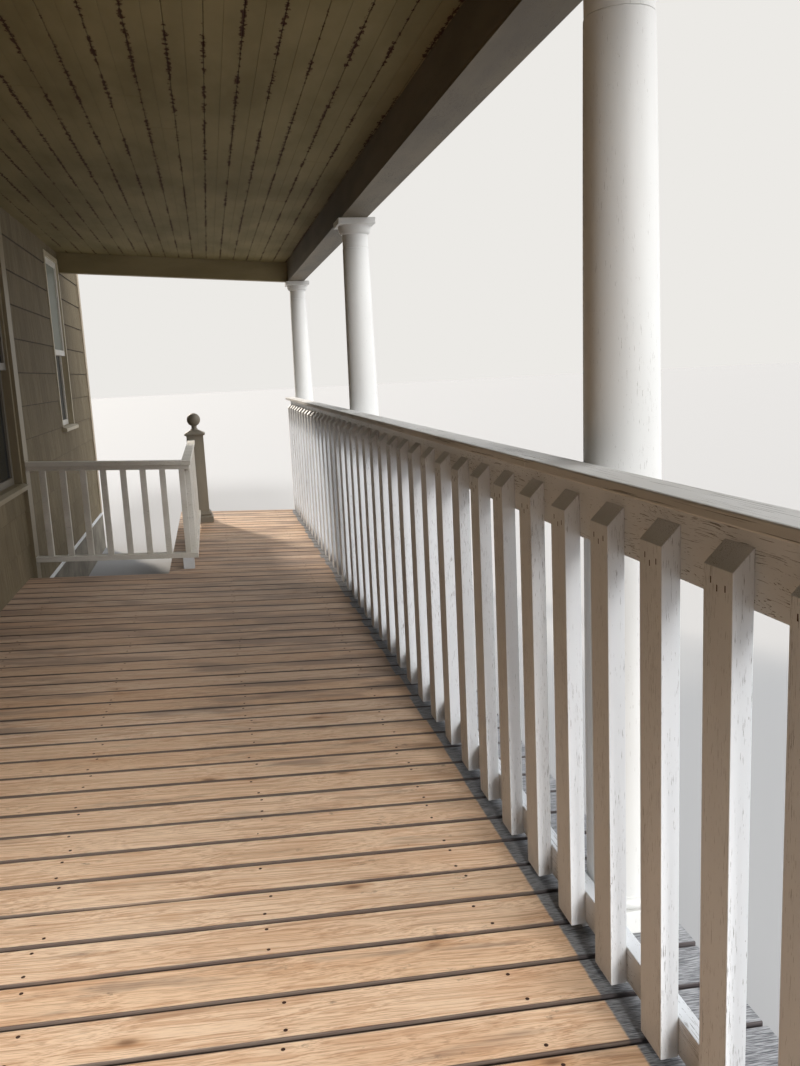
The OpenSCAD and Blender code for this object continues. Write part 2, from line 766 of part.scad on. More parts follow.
// Plate with chamfered edges, a low pyramid, a short turned neck and a ball
pyramid_height = 28;
pyramid_top = 74;
neck_r = 25;
neck_height = 34;
module newel_cap() {
  half = newel_plate_width/2;
  chamfer = newel_plate_thick/3;
  crown = newel_plate_thick + pyramid_height;
  outline = [[-half, chamfer], [chamfer - half, 0], [half - chamfer, 0], [half, chamfer],
             [half, newel_plate_thick - chamfer], [half - chamfer, newel_plate_thick],
             [pyramid_top/2, crown], [-pyramid_top/2, crown],
             [chamfer - half, newel_plate_thick], [-half, newel_plate_thick - chamfer]];
  color(white_paint) translate([newel_x, newel_y, newel_top]) {
    intersection() {
      along_y(outline, -half, half);
      along_x(outline, -half, half);
    }
    translate([0, 0, crown]) rotate_extrude() {
      polygon([[0, 0], [pyramid_top/2, 0], [pyramid_top/2 - 2, neck_height/6], [neck_r, neck_height/2],
               [neck_r, neck_height + ball_d/8], [0, neck_height + ball_d/8]]);
      translate([0, neck_height + ball_d/2]) intersection() {
        circle(d = ball_d);
        translate([0, -ball_d/2]) square([ball_d/2, ball_d]);
      }
    }
  }
}

foundation();
wall_piers();
wall_at_windows();
water_table();
corner_board();
window_frames();
window_sills();
window_sashes();
window_glass();
piers();
girders();
joists();
rim_boards();
deck_main();
deck_walkway();
column_plinths();
column_bases();
column_shafts();
column_capitals();
front_beam();
beam_soffit();
end_headers();
end_panels();
ceiling();
rafters();
roof_deck();
roofing();
fascia();
eave_soffit();
flashing();
rail_cap();
sub_rail();
bottom_rail();
foot_blocks();
balusters_bay_1();
balusters_bay_2();
balusters_bay_3();
balusters_end();
side_rail_top();
side_rail_bottom();
notch_balusters();
walkway_balusters();
newel_post();
newel_base();
newel_cap();
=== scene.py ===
# %% [markdown]
# # A covered front porch
#
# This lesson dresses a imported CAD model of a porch: a slice of house wall, a board floor with a
# notch, turned columns under a beam, a balustrade with bevelled tops, a low side rail with a ball
# newel, a boarded ceiling and a lean-to roof. The CAD nodes are the fixed frame. Everything here
# is in metres, with +X out from the wall, +Y along the porch and +Z up.

# %% Load the frame
import math
import random
from collections import namedtuple

import bmesh
import bpy
from mathutils import Matrix, Vector, noise


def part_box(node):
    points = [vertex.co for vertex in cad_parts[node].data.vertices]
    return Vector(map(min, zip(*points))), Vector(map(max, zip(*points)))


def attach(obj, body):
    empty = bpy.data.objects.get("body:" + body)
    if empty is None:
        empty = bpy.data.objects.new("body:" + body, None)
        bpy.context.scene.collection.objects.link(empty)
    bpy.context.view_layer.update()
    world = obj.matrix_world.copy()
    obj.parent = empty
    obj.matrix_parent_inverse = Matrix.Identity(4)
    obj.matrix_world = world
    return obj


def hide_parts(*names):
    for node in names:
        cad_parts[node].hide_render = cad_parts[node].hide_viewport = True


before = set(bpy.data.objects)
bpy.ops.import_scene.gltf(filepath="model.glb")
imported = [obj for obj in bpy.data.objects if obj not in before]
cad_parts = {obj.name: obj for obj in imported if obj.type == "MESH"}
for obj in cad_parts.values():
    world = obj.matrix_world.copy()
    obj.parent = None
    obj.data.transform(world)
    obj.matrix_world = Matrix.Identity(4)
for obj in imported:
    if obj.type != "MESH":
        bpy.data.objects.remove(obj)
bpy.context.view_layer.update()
scene = bpy.context.scene
scene.view_settings.view_transform = "Standard"

# %% [markdown]
# ## Colours and nodes
#
# Colours are written the way a paint chip is read, as sRGB hex, and one function turns them to
# the linear values that a shader works in. A second small function adds a node with its settings
# and links, and gives back the socket that the next node needs, so a material reads top down.

# %% Colour and node helpers
def colour(code):
    """Linear colour of an sRGB hex code."""
    parts = [int(code[i:i + 2], 16) / 255 for i in (1, 3, 5)]
    linear = [c / 12.92 if c <= 0.04045 else ((c + 0.055) / 1.055) ** 2.4 for c in parts]
    return (*linear, 1.0)


def add(tree, kind, inputs=None, out=0, **settings):
    """Adds a node, sets and links its inputs, and returns its output socket."""
    node = tree.nodes.new(kind)
    for key, value in settings.items():
        setattr(node, key, value)
    for key, value in (inputs or {}).items():
        if isinstance(value, bpy.types.NodeSocket):
            tree.links.new(value, node.inputs[key])
        else:
            node.inputs[key].default_value = value
    return node.outputs[out] if len(node.outputs) else node


def new_material(name, **sockets):
    """A material with one Principled shader. The keywords set its sockets."""
    material = bpy.data.materials.new(name)
    material.use_nodes = True
    tree = material.node_tree
    tree.nodes.clear()
    shader = add(tree, "ShaderNodeBsdfPrincipled").node
    add(tree, "ShaderNodeOutputMaterial", {"Surface": shader.outputs[0]})
    for key, value in sockets.items():
        shader.inputs[key.replace("_", " ")].default_value = value
    print("material:", name)
    return material, tree, shader


def surface(tree, shader, base, height, strength, depth):
    """Gives a shader its colour, and a bump that follows a pattern."""
    bump = add(tree, "ShaderNodeBump", {"Height": height, "Strength": strength, "Distance": depth})
    tree.links.new(base, shader.inputs["Base Color"])
    tree.links.new(bump, shader.inputs["Normal"])


# %% [markdown]
# ## The camera
#
# The photograph was taken from inside the porch, at a standing person's eye. Lines that are
# parallel on the real porch, such as the floor boards, the rail cap and the beam, meet in
# vanishing points, and those give the turn, the tilt and the roll below. Blender's sensor width
# belongs to the longer side of the picture, so the lens follows from the picture's height.

# %% Camera
PHOTO_HEIGHT = 1066
FOCAL_PIXELS = 930
EYE = Vector((1.315, 1.834, 1.852))
TURN = math.radians(11.041)
TILT_DOWN = math.radians(10.036)
ROLL = math.radians(-2.773)

camera_data = bpy.data.cameras.new("eye")
camera_data.sensor_width = 36
camera_data.lens = FOCAL_PIXELS / PHOTO_HEIGHT * camera_data.sensor_width
camera_data.clip_start = 0.05
camera_data.clip_end = 300
camera = bpy.data.objects.new("eye", camera_data)
scene.collection.objects.link(camera)
level_forward = Vector((math.sin(TURN), math.cos(TURN), 0))
level_right = Vector((math.cos(TURN), -math.sin(TURN), 0))
forward = math.cos(TILT_DOWN) * level_forward - math.sin(TILT_DOWN) * Vector((0, 0, 1))
upward = math.cos(TILT_DOWN) * Vector((0, 0, 1)) + math.sin(TILT_DOWN) * level_forward
right = math.cos(ROLL) * level_right + math.sin(ROLL) * upward
up = math.cos(ROLL) * upward - math.sin(ROLL) * level_right
turned = Matrix((right, up, -forward)).transposed().to_4x4()
camera.matrix_world = Matrix.Translation(EYE) @ turned
scene.camera = camera
print("lens:", round(camera_data.lens, 2), "mm")

# %% [markdown]
# ## Ground and light
#
# A plain grey ground carries the porch, and the lamps bring it close to the tone of the backdrop,
# though a faint horizon stays. The sky that lights the porch is soft and a little blue. The sky
# that the camera, a mirror or glass sees is a plain pale tone, picked with the Light Path node.

# %% Ground
GROUND_REACH = 120
ground_paint, tree, shader = new_material("studio_ground", Roughness=0.9)
shader.inputs["Base Color"].default_value = colour("#999999")
ground_mesh = bpy.data.meshes.new("ground")
ground = bpy.data.objects.new("ground", ground_mesh)
bm = bmesh.new()
bmesh.ops.create_grid(bm, x_segments=2, y_segments=2, size=GROUND_REACH)
bm.to_mesh(ground_mesh)
bm.free()
ground_mesh.materials.append(ground_paint)
scene.collection.objects.link(ground)
print("ground reaches", GROUND_REACH, "m each way")

# %% Sky
SKY_LIGHT = 0.60
sky = bpy.data.worlds.new("studio_sky")
sky.use_nodes = True
scene.world = sky
tree = sky.node_tree
tree.nodes.clear()
path = add(tree, "ShaderNodeLightPath").node
seen = add(tree, "ShaderNodeMath", {0: path.outputs["Is Camera Ray"],
                                    1: path.outputs["Is Glossy Ray"]}, operation="MAXIMUM")
seen = add(tree, "ShaderNodeMath", {0: seen, 1: path.outputs["Is Transmission Ray"]},
           operation="MAXIMUM")
light = add(tree, "ShaderNodeBackground", {"Color": colour("#ebf0fa"), "Strength": SKY_LIGHT})
backdrop = add(tree, "ShaderNodeBackground", {"Color": colour("#eceae6"), "Strength": 1.0})
mixed = add(tree, "ShaderNodeMixShader", {0: seen, 1: light, 2: backdrop})
add(tree, "ShaderNodeOutputWorld", {"Surface": mixed})
print("sky light:", SKY_LIGHT)

# %% [markdown]
# The roof keeps most of the sky's light out, so four soft lamps help. One stands low behind the
# right shoulder, as the sun did, and lights the near faces of the balusters. One comes straight in
# at the near end, under the header, and reaches the first few boards. The third comes from the
# open side. The last is a warmer patch of sun that falls in past the house corner at the far end.
# Each lamp has a name, the way its light travels, a strength, the width of its disc in degrees,
# which makes its shadows soft, and a tint.

# %% Lamps
LAMPS = [("low_sun", (-0.27, 0.85, -0.44), 2.0, 20, (1.0, 0.995, 0.985)),
         ("near_end", (0.02, 0.89, -0.45), 3.7, 12, (1.0, 0.99, 0.97)),
         ("open_side", (-0.80, 0.12, -0.62), 1.7, 45, (1.0, 1.0, 1.0)),
         ("far_end", (0.36, -0.80, -0.48), 4.0, 6, (1.0, 0.90, 0.78))]
for name, travel, energy, spread, tint in LAMPS:
    lamp_data = bpy.data.lights.new(name, "SUN")
    lamp_data.energy = energy
    lamp_data.angle = math.radians(spread)
    lamp_data.color = tint
    lamp = bpy.data.objects.new(name, lamp_data)
    lamp.rotation_euler = Vector(travel).to_track_quat("-Z", "Y").to_euler()
    scene.collection.objects.link(lamp)
print("lamps:", [lamp[0] for lamp in LAMPS])

# %% [markdown]
# ## Making pieces
#
# A new piece is built in a bmesh at its true place, so its object stays at the origin. These
# helpers start a bmesh from a cube between two corners, or from a few corner points that are
# extruded along the porch, and then hand the finished mesh to the frame. Soft edges are a bevel
# on every edge that turns more than a set angle. A CAD node is welded and its flat faces joined
# before its bevel, because the triangles across a flat face would break the bevel up.

# %% Piece helpers
def block(bm, low, high):
    """A box between two corners."""
    low, high = Vector(low), Vector(high)
    place = Matrix.Translation((low + high) / 2) @ Matrix.Diagonal((*(high - low), 1.0))
    bmesh.ops.create_cube(bm, size=1, matrix=place)


def extrude_outline(bm, points, travel):
    """A closed outline of corner points, extruded by a vector. Returns its vertices."""
    start = [bm.verts.new(p) for p in points]
    face = bm.faces.new(start)
    made = bmesh.ops.extrude_face_region(bm, geom=[face], use_keep_orig=True)["geom"]
    moved = [g for g in made if isinstance(g, bmesh.types.BMVert)]
    bmesh.ops.translate(bm, verts=moved, vec=Vector(travel))
    return start + moved


def soften(bm, width, segments=2, angle=50):
    """Bevels the edges that turn more than an angle in degrees."""
    limit = math.radians(angle)
    edges = [e for e in bm.edges if len(e.link_faces) == 2 and e.calc_face_angle() > limit]
    bmesh.ops.bevel(bm, geom=edges, offset=width, offset_type="OFFSET", segments=segments,
                    profile=0.5, affect="EDGES", material=-1)


def lathe(bm, profile, centre, steps=64):
    """A profile of (radius, height) points, spun round an upright axis."""
    points = [bm.verts.new((centre.x + r, centre.y, z)) for r, z in profile]
    lines = [bm.edges.new(pair) for pair in zip(points, points[1:])]
    bmesh.ops.spin(bm, geom=points + lines, cent=centre, axis=(0, 0, 1), angle=math.tau,
                   steps=steps, use_merge=True)
    bmesh.ops.remove_doubles(bm, verts=bm.verts, dist=0.00002)


def join_into(bm, own):
    """Adds a finished bmesh to another one, and frees it."""
    scrap = bpy.data.meshes.new("scrap")
    own.to_mesh(scrap)
    own.free()
    bm.from_mesh(scrap)
    bpy.data.meshes.remove(scrap)


def shade_round(bm, angle=35):
    """Smooth shading, kept crisp on the edges that turn more than an angle in degrees."""
    limit = math.radians(angle)
    for face in bm.faces:
        face.smooth = True
    for edge in bm.edges:
        edge.smooth = len(edge.link_faces) != 2 or edge.calc_face_angle() < limit


def finish_piece(bm, name, material, replaces=()):
    """Turns a bmesh into a piece of the porch, with its faces outwards."""
    bmesh.ops.recalc_face_normals(bm, faces=bm.faces)
    mesh = bpy.data.meshes.new(name)
    bm.to_mesh(mesh)
    bm.free()
    mesh.materials.append(material)
    piece = bpy.data.objects.new(name, mesh)
    scene.collection.objects.link(piece)
    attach(piece, "root")
    if replaces:
        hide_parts(*replaces)
    print(name, "faces:", len(mesh.polygons))


WELD_WITHIN = 0.0001
FLAT_WITHIN = math.radians(1)
SHARP_OVER = math.radians(40)


def dress(material, *names, edge=0.0):
    """Gives CAD nodes a material, and a small bevel where their edges would look too sharp."""
    for name in names:
        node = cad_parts[name]
        for place in node.material_slots:
            place.material = material
        if edge:
            weld = node.modifiers.new("weld", "WELD")
            weld.merge_threshold = WELD_WITHIN
            flat = node.modifiers.new("flat", "DECIMATE")
            flat.decimate_type = "DISSOLVE"
            flat.angle_limit = FLAT_WITHIN
            bevel = node.modifiers.new("bevel", "BEVEL")
            bevel.width = edge
            bevel.segments = 2
            bevel.limit_method = "ANGLE"
            bevel.angle_limit = SHARP_OVER
    print(material.name, "on", *names)


# %% [markdown]
# ## Falls and joint lines
#
# Porch floors fall away from the house so that rain runs off, and here the ceiling follows. Both
# falls are read from the CAD boxes. The boards' joint lines were found on the photograph: floor
# boards at 146 mm centres, which is a 140 mm board and its gap, and ceiling boards at 128 mm.

# %% Falls and lines
BOARD_THICK = 0.028
CEILING_THICK = 0.018
FLOOR_LINE = 3.588
FLOOR_PITCH = 0.146
CEILING_LINE = 1.392
CEILING_PITCH = 0.128
NARROWEST_BOARD = 0.03
deck_low, deck_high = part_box("deck_main")
walk_low, walk_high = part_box("deck_walkway")
ceiling_low, ceiling_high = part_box("ceiling")
floor_fall = (deck_high.z - deck_low.z - BOARD_THICK) / deck_high.x
ceiling_fall = (ceiling_high.z - ceiling_low.z - CEILING_THICK) / ceiling_high.x


def floor_z(x):
    """Height of the floor's top at a distance from the wall."""
    return deck_high.z - x * floor_fall


def ceiling_z(x):
    """Height of the ceiling's underside at a distance from the wall."""
    return ceiling_high.z - CEILING_THICK - x * ceiling_fall


def lines_between(line, pitch, low, high):
    """The ends of a run, with every joint line between them that leaves a real board."""
    first = math.ceil((low - line) / pitch)
    last = math.floor((high - line) / pitch)
    inner = [line + k * pitch for k in range(first, last + 1)]
    inner = [y for y in inner if low + NARROWEST_BOARD < y < high - NARROWEST_BOARD]
    return [low] + inner + [high]


print("floor fall:", round(floor_fall, 4), "ceiling fall:", round(ceiling_fall, 4))

# %% [markdown]
# ## Old oil paint on softwood
#
# Most of the porch is softwood with old white oil paint. Such paint is satin where it holds, and
# it cracks along the grain into short fine lines that show grey wood. The cracks are a noise
# pattern stretched along the grain, kept to patches by a second, larger one, and the same mask
# makes a shallow bump. The grain runs the long way of each stick, so the function takes the axis.
# A real crack is finer than a pixel, so the lines are drawn 1 to 3 mm wide, coarser than real.
# First come the pattern helpers that every finish uses.

# %% Pattern helpers
def stretched(tree, sizes, detail=3.0, roughness=0.55, shift=0.0, place=None):
    """Noise whose features have the given size along X, Y and Z, in metres."""
    place = place or add(tree, "ShaderNodeTexCoord", out="Object")
    scale = tuple(1 / size for size in sizes)
    place = add(tree, "ShaderNodeMapping", {"Vector": place, "Scale": scale,
                                            "Location": (shift, shift, shift)})
    return add(tree, "ShaderNodeTexNoise", {"Vector": place, "Scale": 1.0, "Detail": detail,
                                            "Roughness": roughness})


def step(tree, source, low, high, start=0.0, end=1.0):
    """A smooth step of a value between two levels."""
    return add(tree, "ShaderNodeMapRange",
               {"Value": source, "From Min": low, "From Max": high, "To Min": start, "To Max": end},
               interpolation_type="SMOOTHSTEP")


def blend(tree, share, first, second):
    """Two colours mixed by a share."""
    return add(tree, "ShaderNodeMixRGB", {"Fac": share, "Color1": first, "Color2": second})


def position(tree, out):
    """One coordinate of the point that is shaded, in metres."""
    place = add(tree, "ShaderNodeTexCoord", out="Object")
    return add(tree, "ShaderNodeSeparateXYZ", {0: place}, out=out)


def times(tree, first, second):
    """The product of two values."""
    return add(tree, "ShaderNodeMath", {0: first, 1: second}, operation="MULTIPLY")


def plus(tree, first, second):
    """The sum of two values."""
    return add(tree, "ShaderNodeMath", {0: first, 1: second}, operation="ADD")


def minus(tree, first, second):
    """The difference of two values."""
    return add(tree, "ShaderNodeMath", {0: first, 1: second}, operation="SUBTRACT")


def along(axis, length, width):
    """Sizes of a streak that runs along one axis."""
    return tuple(length if name == axis else width for name in "XYZ")


def wavy(tree, axis, sway):
    """Object coordinates that sway slowly, so that grain drawn on them bends round."""
    place = add(tree, "ShaderNodeTexCoord", out="Object")
    swell = stretched(tree, along(axis, 0.30, 0.09), detail=1.0)
    swell = add(tree, "ShaderNodeVectorMath", {0: swell, 1: (sway, sway, sway)},
                operation="MULTIPLY")
    return add(tree, "ShaderNodeVectorMath", {0: place, 1: swell}, operation="ADD")


# %% [markdown]
# The woodwork of the two windows differs, and a place between them along the porch tells which
# one a point belongs to. Fine noise that rises over a level is a crack, and larger patches lower
# the level. A chip is where a second noise peaks. The bump keeps a little of the brush's drag.

# %% Paint
BETWEEN_WINDOWS = 9.5


def old_paint(name, axis, paint, worn, bare, cracked=0.5, rough=0.5, sway=0.01, near=None,
              crack_size=(0.034, 0.0012)):
    """Cracked paint. A larger cracked share shows more wood. The near window may differ."""
    material, tree, shader = new_material(name, Roughness=rough)
    fine = stretched(tree, along(axis, *crack_size), detail=4.0, place=wavy(tree, axis, sway))
    patches = stretched(tree, along(axis, 0.42, 0.07), detail=2.0, shift=3.1)
    shade = stretched(tree, along(axis, 0.9, 0.22), detail=4.0, shift=7.7)
    level = step(tree, patches, 0.35, 0.75, 0.70 - 0.06 * cracked, 0.645 - 0.12 * cracked)
    crack = step(tree, minus(tree, fine, level), 0.0, 0.035)
    chips = stretched(tree, along(axis, 0.035, 0.011), detail=5.0, roughness=0.7, shift=11.3)
    chip = step(tree, chips, 0.735 - 0.05 * cracked, 0.75 - 0.05 * cracked)
    tone = blend(tree, step(tree, shade, 0.3, 0.7), colour(paint), colour(worn))
    if near:
        before = add(tree, "ShaderNodeMath", {0: position(tree, "Y"), 1: BETWEEN_WINDOWS},
                     operation="LESS_THAN")
        tone = blend(tree, before, tone, colour(near))
    tone = blend(tree, crack, tone, colour(bare))
    tone = blend(tree, chip, tone, colour(bare))
    lost = add(tree, "ShaderNodeMath", {0: crack, 1: chip}, operation="MAXIMUM")
    relief = plus(tree, minus(tree, 1.0, lost), times(tree, fine, 0.35))
    surface(tree, shader, tone, relief, strength=0.5, depth=0.0006)
    return material


# %% [markdown]
# Each paint has a sound colour, a worn one and the bare wood's, and then its cracked share. The
# board on edge under the cap is flat-sawn, so its cracks are longer and sway more. The cap's top
# lies in the weather, and its cracks have opened to grooves that run along it. The newel has the
# side rail's pale paint, drawn dark grey as painted shade, and the low side rail's paint is pale
# but has gone dull. The beam's paint is taupe, and what faces down is cream paint drawn dark
# brown, partly as stains and partly as painted shade.

# %% Paints
WHITE = ("#dcdfe2", "#ced0d2", "#787471")
white_upright = old_paint("oil_paint_on_upright_softwood", "Z", *WHITE, 0.55)
white_along = old_paint("oil_paint_on_softwood_along_porch", "Y", *WHITE, 0.75, sway=0.09,
                        crack_size=(0.12, 0.0021))
column_paint = old_paint("oil_paint_on_turned_columns", "Z", "#e0e0dd", "#d5d4d1", "#8d877d", 0.0)
cap_paint = old_paint("worn_paint_on_rail_cap", "Y", "#d0cfcc", "#bbb9b4", "#85817b", 0.9, 0.7,
                      sway=0.002, crack_size=(0.30, 0.0034))
casing_paint = old_paint("oil_paint_on_window_casing", "Z", "#b9af98", "#a89d84", "#6f6657", 0.2,
                         near="#857960")
sash_paint = old_paint("oil_paint_on_sashes", "Z", "#e4e2dc", "#d6d2c8", "#8b857a", 0.1,
                       near="#6f685c")
side_paint = old_paint("dull_paint_on_side_rail", "X", "#dedad2", "#cbc6bb", "#7d766a", 0.4, 0.6)
# The newel's dark grey is painted shade on the side rail's pale paint.
newel_shaded_paint = old_paint("pale_paint_darkened_as_shade_on_newel", "Z", "#867f71", "#776f61", "#5a5347", 0.2, 0.6)
beam_paint = old_paint("taupe_paint_on_beam", "Y", "#6f6553", "#5a5140", "#3c3326", 0.4, 0.7)
# The soffit's dark brown is partly stain and partly painted shade on its down-facing side.
soffit_stained_and_shaded_paint = old_paint("cream_paint_stained_and_darkened_as_shade_on_soffit", "Y", "#6a5e46", "#4d432f", "#372e20", 0.7, 0.6)
header_paint = old_paint("cream_paint_on_header", "X", "#8f8260", "#7c6f4c", "#4d4231", 0.1, 0.6)
print("paints:", len(bpy.data.materials))

# %% [markdown]
# ## Sanded pine floor
#
# The boards are yellow pine whose old paint was sanded off the walked part. Fresh sanded pine is
# pale, with long growth lines that bend round, pores, and a knot or a dark stain here and there.
# A few boards are flat-sawn and show the nested rings that are the contour lines of a stretched
# noise. Each board has its own tone, an attribute on its points, and the tone also picks a slice
# of the noise, so that no figure runs on into the next board. Pores are drawn 2 mm wide, coarser
# than real ones. Bare wood has no varnish on it, so it is fairly rough and mirrors little.

# %% Bare pine
TONE_SLICES = 40.0


def line_distance(tree, out, line, pitch):
    """Distance from the nearest joint line, for lines that lie across the given axis."""
    place = minus(tree, position(tree, out), line)
    return add(tree, "ShaderNodeMath", {0: place, 1: pitch / 2}, operation="PINGPONG")


def board_noise(tree, tone, sizes, detail, place=None):
    """Noise that starts afresh in each board, because the board's tone picks its own slice."""
    place = place or add(tree, "ShaderNodeTexCoord", out="Object")
    place = add(tree, "ShaderNodeMapping", {"Vector": place, "Scale": tuple(1 / v for v in sizes)})
    own = times(tree, tone, TONE_SLICES)
    return add(tree, "ShaderNodeTexNoise", {"Vector": place, "W": own, "Scale": 1.0,
                                            "Detail": detail}, noise_dimensions="4D")


pine, tree, shader = new_material("sanded_yellow_pine", Roughness=0.62, Specular_IOR_Level=0.3)
tone = add(tree, "ShaderNodeAttribute", attribute_name="tone", out="Fac")
bent = wavy(tree, "X", 0.035)
growth = board_noise(tree, tone, (1.7, 0.0095, 0.0095), 3.0, bent)
streak = board_noise(tree, tone, (1.3, 0.026, 0.026), 3.0, bent)
lines = stretched(tree, (0.90, 0.0029, 0.0029), detail=2.0, place=bent)
smudge = stretched(tree, (0.10, 0.055, 1.0), detail=5.0, roughness=0.7, shift=14.0)
figure = board_noise(tree, tone, (1.3, 0.10, 0.10), 1.5)
rings = times(tree, figure, 80.0)
rings = add(tree, "ShaderNodeMath", {0: rings}, operation="SINE")
flat_sawn = step(tree, tone, 0.62, 0.72, 0.0, 0.30)
pores = stretched(tree, (0.10, 0.0020, 0.0020), detail=4.0)
cloud = board_noise(tree, tone, (0.45, 0.10, 0.10), 3.0)
knots = add(tree, "ShaderNodeTexCoord", out="Object")
knots = add(tree, "ShaderNodeMapping", {"Vector": knots, "Scale": (4.0, 9.0, 0.01)})
own = times(tree, tone, TONE_SLICES)
knots = add(tree, "ShaderNodeTexVoronoi", {"Vector": knots, "W": own, "Scale": 1.0},
            voronoi_dimensions="4D")
knot = step(tree, knots, 0.05, 0.15, 1.0, 0.0)
halo = step(tree, knots, 0.12, 0.30, 1.0, 0.0)
base = blend(tree, tone, colour("#e9c5a1"), colour("#f6ddc1"))
base = blend(tree, step(tree, cloud, 0.45, 0.75, 0.0, 0.45), base, colour("#cfa27b"))
base = blend(tree, step(tree, growth, 0.47, 0.62, 0.0, 0.50), base, colour("#c0906a"))
base = blend(tree, step(tree, lines, 0.48, 0.62, 0.0, 0.50), base, colour("#a87a58"))
base = blend(tree, step(tree, streak, 0.60, 0.72, 0.0, 0.55), base, colour("#9c7354"))
base = blend(tree, times(tree, step(tree, rings, 0.3, 1.0), flat_sawn), base, colour("#b4845c"))
base = blend(tree, step(tree, pores, 0.54, 0.72, 0.0, 0.35), base, colour("#866552"))
base = blend(tree, step(tree, smudge, 0.63, 0.73, 0.0, 0.6), base, colour("#6b5645"))
base = blend(tree, times(tree, halo, 0.35), base, colour("#b07a48"))
base = blend(tree, times(tree, knot, 0.8), base, colour("#6d4a31"))

# %% [markdown]
# Wear comes on top of the bare wood. Past the first few metres the boards are drawn browner and
# darker, partly as stains and partly as painted shade beyond the boards that the sun reaches,
# and past 8.5 m the browning eases off, so the far boards are paler again. A strip along the
# rail, where the sander could not reach, stays grey, and it ends at a slightly different line on
# each board. The joints are dark, partly with dirt and partly with painted shade wider than the
# gaps, evenly at the near end and in places further on.

# %% Wear on the pine
SANDED_TO = 2.074
SANDED_EDGE = 0.008
BROWNING_AND_SHADE = (4.2, 7.0)
PALING = (8.5, 10.5)
DIRT_AND_SHADE_REACH = (0.0085, 0.0120)
old = blend(tree, step(tree, pores, 0.35, 0.65), colour("#505155"), colour("#a3a4a6"))
browned = blend(tree, pores, colour("#5d4d43"), colour("#9a877a"))
wear = stretched(tree, (0.55, 0.10, 1.0), detail=4.0, shift=5.0)
along_y = position(tree, "Y")
far = step(tree, along_y, *BROWNING_AND_SHADE)
stain = step(tree, plus(tree, wear, times(tree, far, 0.15)), 0.60, 0.76)
# Browning is partly stain and partly painted shade away from the near boards; it eases past 8.5 m.
browning_and_shade = times(tree, far, step(tree, along_y, *PALING, 0.6, 0.25))
base = blend(tree, browning_and_shade, base, colour("#937c6b"))
base = blend(tree, times(tree, stain, 0.65), base, browned)
ragged = stretched(tree, (0.02, 0.012, 1.0), detail=4.0)
edge = plus(tree, position(tree, "X"), times(tree, ragged, 0.005))
edge = plus(tree, edge, times(tree, tone, 0.020))
unsanded = step(tree, edge, SANDED_TO, SANDED_TO + SANDED_EDGE)
base = blend(tree, unsanded, base, old)
joint = line_distance(tree, "Y", FLOOR_LINE, FLOOR_PITCH)
uneven = stretched(tree, (0.32, 0.07, 1.0), detail=3.0, shift=6.0)
loss = step(tree, along_y, *BROWNING_AND_SHADE, 0.001, 0.0045)
uneven = times(tree, step(tree, uneven, 0.35, 0.65), loss)
# The dark joint band is partly dirt and partly painted shade, wider than the gaps themselves.
joint = step(tree, plus(tree, joint, uneven), *DIRT_AND_SHADE_REACH, 0.9, 0.0)
base = blend(tree, joint, base, colour("#3f3736"))
surface(tree, shader, base, pores, strength=0.3, depth=0.0005)
print("pine nodes:", len(tree.nodes))

# %% [markdown]
# The boards are laid one by one, each with its own gap, a slight wander along its edges and a
# small step in height, which is what makes an old floor catch the light unevenly. A cube is cut
# along its length, its long edges are eased, and noise moves its points by a millimetre or two.
# The boards at the near end have shrunk apart, and further on they lie close.

# %% Floor boards
SHRUNK_TO = 4.6
SHRUNK_GAPS = (0.012, 0.017)
CLOSE_GAPS = (0.003, 0.004, 0.005, 0.006, 0.009)
BOARD_LIFT = 0.0012
UNEVEN_END = 0.004
EASED_EDGE = 0.0022
BOARD_CUTS = 11
WANDER = 0.0017
CUP = 0.0008


def long_edges(bm):
    """The edges that run across the porch, as a floor board does."""
    return [e for e in bm.edges if abs(e.verts[0].co.x - e.verts[1].co.x) > 0.5]


def floor_boards(name, node, x0, x1, y0, y1, seed):
    """Boards between two joint lines each, in place of a CAD slab."""
    rng = random.Random(seed)
    bm = bmesh.new()
    tone = bm.verts.layers.float.new("tone")
    ends = lines_between(FLOOR_LINE, FLOOR_PITCH, y0, y1)
    for low, high in zip(ends, ends[1:]):
        gap = rng.uniform(*SHRUNK_GAPS) if low < SHRUNK_TO else rng.choice(CLOSE_GAPS)
        lift = rng.uniform(-BOARD_LIFT, 0.0)
        stop = x1 - rng.uniform(0.0, UNEVEN_END)
        own = bmesh.new()
        block(own, (x0, low + gap / 2, -BOARD_THICK), (stop, high - gap / 2, 0))
        bmesh.ops.bevel(own, geom=long_edges(own), offset=EASED_EDGE, segments=2, profile=0.5,
                        affect="EDGES", material=-1)
        bmesh.ops.subdivide_edges(own, edges=long_edges(own), cuts=BOARD_CUTS,
                                  use_grid_fill=True)
        level = rng.random()
        for v in own.verts:
            wander = noise.noise(Vector((v.co.x * 1.7, low * 9.0, seed)))
            cup = noise.noise(Vector((v.co.x * 1.1, low * 5.0, seed + 3.0)))
            v.co.y += WANDER * wander
            v.co.z += floor_z(v.co.x) + lift + CUP * (cup - 1.0)
        layer = own.verts.layers.float.new("tone")
        for v in own.verts:
            v[layer] = level
        join_into(bm, own)
    finish_piece(bm, name, pine, [node])


floor_boards("floor_boards", "deck_main", 0.0, deck_high.x, 0.0, deck_high.y, 4)
floor_boards("walkway_boards", "deck_walkway", walk_low.x, walk_high.x, walk_low.y, walk_high.y, 9)

# %% [markdown]
# Two nails hold each board at every joist. Their sunk heads are small dark dots in rows along
# the porch, and a disc lying on the board is enough to draw them. Old nail heads are rusted, so
# they are brown and dull, hardly metal to the eye. Filled or lost ones leave gaps in the rows.

